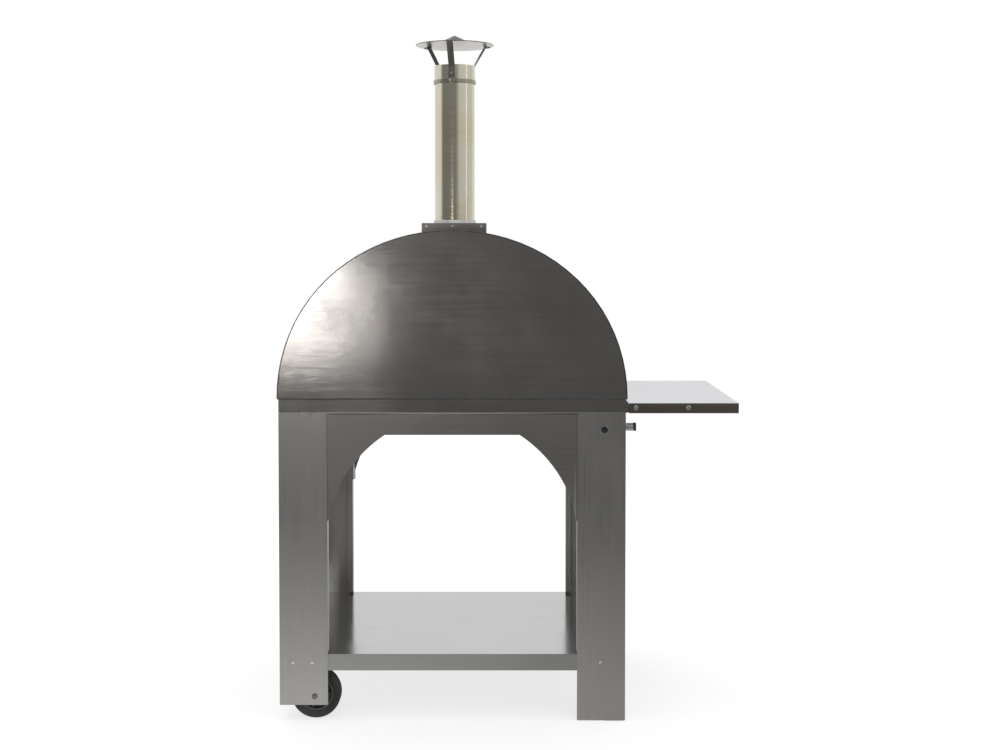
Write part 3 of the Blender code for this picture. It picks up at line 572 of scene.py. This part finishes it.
def tread_profile(outer, half, rim):
    """The tyre's section: sidewall with a bead, round shoulder, three grooves in the tread."""
    groove = 0.0016
    shoulder = 0.005
    side = [(rim, half * 0.80), (rim + 0.003, half * 0.88), (outer - 0.010, half * 0.93)]
    side += [(outer - 0.0085, half), (outer - shoulder, half)]
    for step in range(1, 5):
        angle = math.radians(90 * step / 4)
        out = outer - shoulder + shoulder * math.sin(angle)
        side.append((out, half - shoulder + shoulder * math.cos(angle)))
    tread = []
    for centre in (half * 0.40, 0.0, -half * 0.40):
        tread += [(outer, centre + 0.0016), (outer - groove, centre + 0.0010)]
        tread += [(outer - groove, centre - 0.0010), (outer, centre - 0.0016)]
    return side + tread + mirrored(side)


def make_wheels():
    for word in ("rear", "front"):
        node = f"tyre_{word}"
        low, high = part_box(node)
        middle = (low + high) / 2
        half = (high.y - low.y) / 2
        outer = (high.z - low.z) / 2
        hub_low, hub_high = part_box(f"wheel_hub_{word}")
        rim = (hub_high.z - hub_low.z) / 2
        shape = bmesh.new()
        add_closed_lathe(shape, tread_profile(outer, half, rim + 0.0004), middle, (0, -1, 0), 96)
        tyre = piece_from(closed(shape), node + "_tread", "tyre", body_of(node), (node,))
        smooth(tyre, 35)
        make_hub(word, middle, half, rim)


def make_hub(word, middle, half, rim):
    """A moulded hub: a channelled rim, a boss round the axle, a web and ribbed spokes."""
    node = f"wheel_hub_{word}"
    ring = rim - 0.008
    channel = [(rim, 0.015), (rim - 0.002, 0.017), (ring + 0.001, 0.017), (ring, 0.015)]
    boss = [(HUB_BORE, half - 0.001), (HUB_BORE + 0.001, half)]
    boss += [(HUB_BOSS - 0.002, half), (HUB_BOSS, half - 0.003)]
    web = [(HUB_BOSS - 0.001, 0.0030), (ring + 0.001, 0.0024)]
    shape = bmesh.new()
    for section, steps in ((channel, 96), (boss, 64), (web, 96)):
        add_closed_lathe(shape, section + mirrored(section), middle, (0, -1, 0), steps)
    add_spokes(shape, middle, HUB_BOSS - 0.002, ring + 0.002)
    piece = piece_from(closed(shape), node + "_spoked", "hub", body_of(node), (node,))
    round_edges(piece, 0.0006)


def add_spokes(shape, middle, inner_r, outer_r):
    """Upright ribs that narrow from the boss to the rim."""
    half = 0.013
    for spoke in range(SPOKES):
        angle = math.tau * spoke / SPOKES
        along = Vector((math.cos(angle), 0, math.sin(angle)))
        across = Vector((-math.sin(angle), 0, math.cos(angle)))
        inner_end = along * inner_r
        outer_end = along * outer_r
        outline = [
            inner_end - across * 0.0032,
            outer_end - across * 0.0020,
            outer_end + across * 0.0020,
            inner_end + across * 0.0032,
        ]
        add_prism(shape, outline, middle + Vector((0, -half, 0)), (0, 2 * half, 0))


def make_hearth():
    """Pressed fireclay tiles, two across and three deep on each half of the floor."""
    for word in ("left", "right"):
        node = f"hearth_tile_{word}"
        low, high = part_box(node)
        shape = bmesh.new()
        wide = (high.x - low.x) / TILE_COLUMNS
        deep = (high.y - low.y) / TILE_ROWS
        for column in range(TILE_COLUMNS):
            for row in range(TILE_ROWS):
                x = low.x + column * wide + TILE_JOINT / 2
                y = low.y + row * deep + TILE_JOINT / 2
                start = Vector((x, y, low.z))
                end = Vector((start.x + wide - TILE_JOINT, start.y + deep - TILE_JOINT, high.z))
                add_block(shape, start, end)
        piece = piece_from(closed(shape), node + "_tiles", "clay", "oven", (node,))
        round_edges(piece, 0.0022, 3)


def make_cart_screws():
    """Pan heads that hold the lower shelf's rails to the legs."""
    rail_z = middle_of("lower_shelf").z
    low_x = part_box("leg_rear_left")[0].x
    high_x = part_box("leg_rear_right")[1].x
    seats = []
    for face, side in ((LEG_FACE_Y, -1), (FRONT_FACE_Y, 1)):
        for x in SHELF_SCREWS_X:
            seats.append(((CENTRE_X + x, face, rail_z), (0, side, 0)))
    for face, side in ((low_x, -1), (high_x, 1)):
        for y in SHELF_SCREWS_Y:
            seats.append(((face, CENTRE_Y + y, rail_z), (side, 0, 0)))
    screws("shelf_screw_heads", "oven", seats, CART_HEAD)


def make_saddle_screws():
    low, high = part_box("flue_saddle")
    seats = []
    for face, side in rear_and_front("flue_saddle"):
        for x in (low.x + 0.015, (low.x + high.x) / 2 - 0.004, high.x - 0.015):
            seats.append(((x, face, high.z - 0.011), (0, side, 0)))
    screws("saddle_screw_heads", "oven", seats, SADDLE_HEAD)


def make_side_shelf_screws():
    """Plain heads: one on each arm, and one on each screw that the side shelf turns on."""
    faces = rear_and_front("side_shelf_top")
    arm_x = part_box("side_shelf_top")[0].x + 0.180
    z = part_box("side_shelf_screw_rear")[0].z + 0.007
    seats = [((arm_x, face, z), (0, side, 0)) for face, side in faces]
    screws("side_shelf_arm_screws", "side_shelf", seats, SIDE_SHELF_HEAD, False)
    for word, (face, side) in zip(("rear", "front"), faces):
        node = f"side_shelf_screw_{word}"
        shape = bmesh.new()
        place = (middle_of(node).x, face, z)
        add_pan_head(shape, place, (0, side, 0), SIDE_SHELF_HEAD, False)
        piece = piece_from(closed(shape), node + "_head", "screw", "side_shelf", (node,))
        smooth(piece, 40)


def make_hinge_screws():
    """Pan heads on both hinges: two on each bracket and two on each leaf."""
    on_brackets = []
    on_leaves = []
    for word in ("low", "high"):
        low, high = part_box(f"hinge_bracket_{word}")
        z = (low.z + high.z) / 2
        for offset in (-0.013, 0.013):
            on_brackets.append(((low.x + 0.010, low.y + 0.002, z + offset), (0, 1, 0)))
        low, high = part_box(f"hinge_leaf_{word}")
        z = (low.z + high.z) / 2
        for inset in (0.012, 0.042):
            on_leaves.append(((high.x - inset, high.y - 0.0032, z), (0, 1, 0)))
    screws("hinge_bracket_screws", "oven", on_brackets, HINGE_HEAD)
    screws("hinge_leaf_screws", "door", on_leaves, HINGE_HEAD)


def make_arm_plates():
    """The side shelf's stiffening arms, seen as doubled sheet on its near and far skirts."""
    low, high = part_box("side_shelf_top")
    shape = bmesh.new()
    for face, side in rear_and_front("side_shelf_top"):
        inner = face - side * 0.0017
        near, far = sorted((inner, inner - side * 0.002))
        add_block(shape, (low.x + 0.038, near, low.z + 0.004), (low.x + 0.190, far, high.z - 0.004))
    arms = piece_from(closed(shape), "side_shelf_arms", "steel_x", "side_shelf")
    round_edges(arms, 0.0004)


def make_cap_rivets():
    """Rivets where the three struts meet the hood and the sleeve."""
    centre = middle_of("cap_hood")
    centre.z = 0
    hood_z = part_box("cap_hood")[0].z + 0.0036
    sleeve_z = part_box("cap_sleeve")[0].z + 0.026
    shape = bmesh.new()
    for turn in STRUT_TURNS:
        angle = math.radians(turn)
        away = Vector((math.cos(angle), math.sin(angle), 0))
        on_hood = centre + away * 0.111 + Vector((0, 0, hood_z))
        on_sleeve = centre + away * 0.0656 + Vector((0, 0, sleeve_z))
        add_pan_head(shape, on_hood, (0, 0, 1), HOOD_RIVET, False)
        add_pan_head(shape, on_sleeve, away, SLEEVE_RIVET, False)
    smooth(piece_from(closed(shape), "cap_rivets", "zinc", "oven"), 40)


def make_clamp_screw():
    """The end of the clamp's screw on one side of its lug, and its hex head on the other."""
    lug = middle_of("flue_clamp")
    lug.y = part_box("flue_clamp")[0].y + 0.0045
    end = [(0, 0.017), (0.0022, 0.017), (0.0025, 0.0165), (0.0025, 0.0105), (0, 0.0105)]
    head = [(0, 0.0150), (0.0040, 0.0150), (0.0044, 0.0145), (0.0044, 0.0108), (0, 0.0108)]
    shape = bmesh.new()
    add_lathe(shape, end, lug, (1, 0, 0), 20)
    add_lathe(shape, head, lug, (-1, 0, 0), 6)
    smooth(piece_from(closed(shape), "clamp_screw", "screw", "oven"), 40)


def make_pipe_seam():
    """The pipe's welded seam, which runs up its front side as far as the sleeve."""
    side = FLUE.y + PIPE_R
    low = (FLUE.x - 0.003, side - 0.0004, PIPE_LOW.z + 0.003)
    high = (FLUE.x + 0.003, side + 0.0007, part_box("cap_sleeve")[0].z - 0.004)
    shape = bmesh.new()
    add_block(shape, low, high)
    round_edges(piece_from(closed(shape), "pipe_seam", "bright", "oven"), 0.0004)


def make_dial():
    centre = middle_of("thermometer_case")
    centre.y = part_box("thermometer_case")[0].y + 0.0024
    plate = [(0, 0.0006), (0.0272, 0.0006), (0.0277, 0.0003), (0.0277, 0), (0, 0)]
    shape = bmesh.new()
    add_lathe(shape, plate, centre, (0, 1, 0), 64)
    smooth(piece_from(closed(shape), "thermometer_dial", "enamel", "door"), 40)
    make_ticks(centre + Vector((0, 0.00065, 0)))


def make_ticks(face):
    """Plain tick marks round the dial, every fifth one longer, with no figures."""
    outer_r = 0.0250
    shape = bmesh.new()
    for tick in range(TICKS):
        angle = math.radians(-130 + TICK_DEGREES * tick)
        away = Vector((math.sin(angle), 0, math.cos(angle)))
        across = Vector((math.cos(angle), 0, -math.sin(angle)))
        long_tick = tick % 5 == 0
        inner_r = 0.0195 if long_tick else 0.0220
        half = 0.0006 if long_tick else 0.0003
        outline = [
            away * inner_r - across * half,
            away * outer_r - across * half,
            away * outer_r + across * half,
            away * inner_r + across * half,
        ]
        add_prism(shape, outline, face, (0, 0.0002, 0))
    piece_from(closed(shape), "thermometer_ticks", "ink", "door")


def make_peg_washers():
    ring = [(0.0110, 0.0002), (0.0128, 0.0002), (0.0130, 0.0006), (0.0128, 0.0014), (0.0110, 0.0014)]
    shape = bmesh.new()
    for word, face, side in (("rear", LEG_FACE_Y, -1), ("front", FRONT_FACE_Y, 1)):
        place = middle_of(f"peg_bolt_{word}")
        place.y = face
        add_closed_lathe(shape, ring, place, (0, side, 0), 48)
    smooth(piece_from(closed(shape), "peg_bolt_washers", "zinc", "oven"), 40)


def make_tray_edges():
    """A black strip of painted shade where the oven stands in its tray, and a pale strip of painted
    highlight along the tray's lower edge.
    """
    low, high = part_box("base_tray")
    bead = bmesh.new()
    highlight_strip = bmesh.new()
    for face, side in rear_and_front("base_tray"):
        near, far = sorted((face + side * 0.0006, face - side * 0.0001))
        # The black strip is painted shade: it stands in for the shadow in the joint under the dome.
        add_block(bead, (low.x - 0.003, near, high.z - 0.0016), (high.x + 0.003, far, high.z + 0.0020))
        # The pale strip is a painted highlight: it stands in for light caught on the tray's lower edge.
        add_block(highlight_strip, (low.x, near, low.z), (high.x, far, low.z + 0.0026))
    round_edges(piece_from(closed(bead), "tray_painted_shade_strip", "rubber", "oven"), 0.0002)
    round_edges(piece_from(closed(highlight_strip), "tray_painted_highlight_strip", "satin_x", "oven"), 0.0002)


# The studio


def floor_paper():
    """White paper. Gloss sees it bright under and behind the oven, dimmer to the right and far out."""
    paper = Finish("studio_paper", (0.34, 0.34, 0.34), 0.0, 0.9)
    paper.shader.inputs["Specular IOR Level"].default_value = 0.0
    paper.shader.inputs["Emission Color"].default_value = (1, 1, 1, 1)
    paper.shader.inputs["Emission Strength"].default_value = 0.70
    in_gloss = paper.nodes.new("ShaderNodeEmission")
    span = paper.nodes.new("ShaderNodeVectorMath")
    span.operation = "LENGTH"
    split = paper.nodes.new("ShaderNodeSeparateXYZ")
    paper.links.new(paper.place, span.inputs[0])
    paper.links.new(paper.place, split.inputs["Vector"])
    near = paper.between(span.outputs["Value"], 0.85, 0.06, 0.9, 4.0)
    sideways = paper.between(split.outputs["X"], 1.0, 0.60, -0.5, 0.3)
    behind = paper.between(split.outputs["Y"], 0.15, 0.80, 0.6, 2.5)
    glow = paper.combine("MULTIPLY", near, sideways)
    paper.links.new(paper.combine("MAXIMUM", glow, behind), in_gloss.inputs["Strength"])
    output = next(node for node in paper.nodes if node.type == "OUTPUT_MATERIAL")
    paper.gloss_switch(paper.shader.outputs["BSDF"], in_gloss.outputs["Emission"], output.inputs["Surface"])
    return paper.material


def make_stage():
    """A plain pale floor that runs far out under the oven."""
    shape = bmesh.new()
    bmesh.ops.create_circle(shape, cap_ends=True, segments=96, radius=120.0)
    bmesh.ops.translate(shape, verts=shape.verts, vec=(CENTRE_X, CENTRE_Y, FLOOR_Z))
    mesh = bpy.data.meshes.new("studio_floor")
    shape.to_mesh(mesh)
    shape.free()
    floor = bpy.data.objects.new("studio_floor", mesh)
    bpy.context.scene.collection.objects.link(floor)
    mesh.materials.append(floor_paper())


def area_light(name, place, target, size_x, size_y, power):
    data = bpy.data.lights.new(name, "AREA")
    data.shape = "RECTANGLE"
    data.size = size_x
    data.size_y = size_y
    data.energy = power
    light = bpy.data.objects.new(name, data)
    light.location = place
    light.visible_camera = False
    light.rotation_euler = (Vector(target) - Vector(place)).to_track_quat("-Z", "Y").to_euler()
    bpy.context.scene.collection.objects.link(light)


def make_world():
    """White all round for the eye and for matt surfaces; gloss sees a studio dim in front."""
    world = bpy.data.worlds.new("studio")
    bpy.context.scene.world = world
    world.use_nodes = True
    world.cycles.sampling_method = "NONE"
    net = Net(world.node_tree)
    net.nodes.clear()
    where = net.nodes.new("ShaderNodeTexCoord")
    split = net.nodes.new("ShaderNodeSeparateXYZ")
    net.links.new(where.outputs["Generated"], split.inputs["Vector"])
    across = split.outputs["X"]
    leaning = net.combine("MULTIPLY_ADD", across, -0.35, split.outputs["Y"])
    around = net.between(leaning, 0.0, 0.80, -0.10, 0.35, True)
    ahead = net.between(across, 0.19, 0.62, 0.06, 0.60, True)
    above = net.between(split.outputs["Z"], 0.0, 0.45, 0.1, 1.0)
    level = net.combine("ADD", net.combine("MAXIMUM", around, ahead), above)
    studio = net.nodes.new("ShaderNodeBackground")
    studio.inputs["Color"].default_value = (0.98, 0.985, 1.0, 1)
    net.links.new(level, studio.inputs["Strength"])
    white = net.nodes.new("ShaderNodeBackground")
    white.inputs["Color"].default_value = (1, 1, 1, 1)
    white.inputs["Strength"].default_value = 1.0
    output = net.nodes.new("ShaderNodeOutputWorld")
    net.gloss_switch(white.outputs["Background"], studio.outputs["Background"], output.inputs["Surface"])


def make_lights():
    middle = Vector((CENTRE_X, CENTRE_Y, 1.0))
    area_light("overhead", middle + Vector((0, 0.3, 4.4)), middle, 4.0, 4.0, 40)
    left = middle + Vector((-1.10, -4.9, 0.10))
    area_light("left_window", left, middle + Vector((-0.4, 0, 0)), 0.3, 0.6, 7.5)
    area_light("right_strip", middle + Vector((3.6, -1.2, 1.0)), middle, 0.15, 2.4, 1.5)
    area_light("door_soft", middle + Vector((-2.4, 4.6, 3.0)), middle, 2.0, 2.0, 22)


def make_camera():
    """At the height of the dome's top, facing the closed back from a little to its right."""
    data = bpy.data.cameras.new("camera")
    data.lens = 51.6
    data.sensor_width = 36
    data.shift_y = -0.083
    data.clip_end = 200
    camera = bpy.data.objects.new("camera", data)
    camera.location = (CENTRE_X + 0.143, REAR - 4.263, 1.445)
    tipped_down = 2.06
    camera.rotation_euler = (math.radians(90 - tipped_down), 0, 0)
    bpy.context.scene.collection.objects.link(camera)
    bpy.context.scene.camera = camera


dress_plain_nodes()
make_wheels()
make_hearth()
make_cart_screws()
make_saddle_screws()
make_side_shelf_screws()
make_hinge_screws()
make_arm_plates()
make_cap_rivets()
make_clamp_screw()
make_pipe_seam()
make_dial()
make_peg_washers()
make_tray_edges()
make_stage()
make_world()
make_lights()
make_camera()
bpy.context.scene.view_settings.view_transform = "Standard"
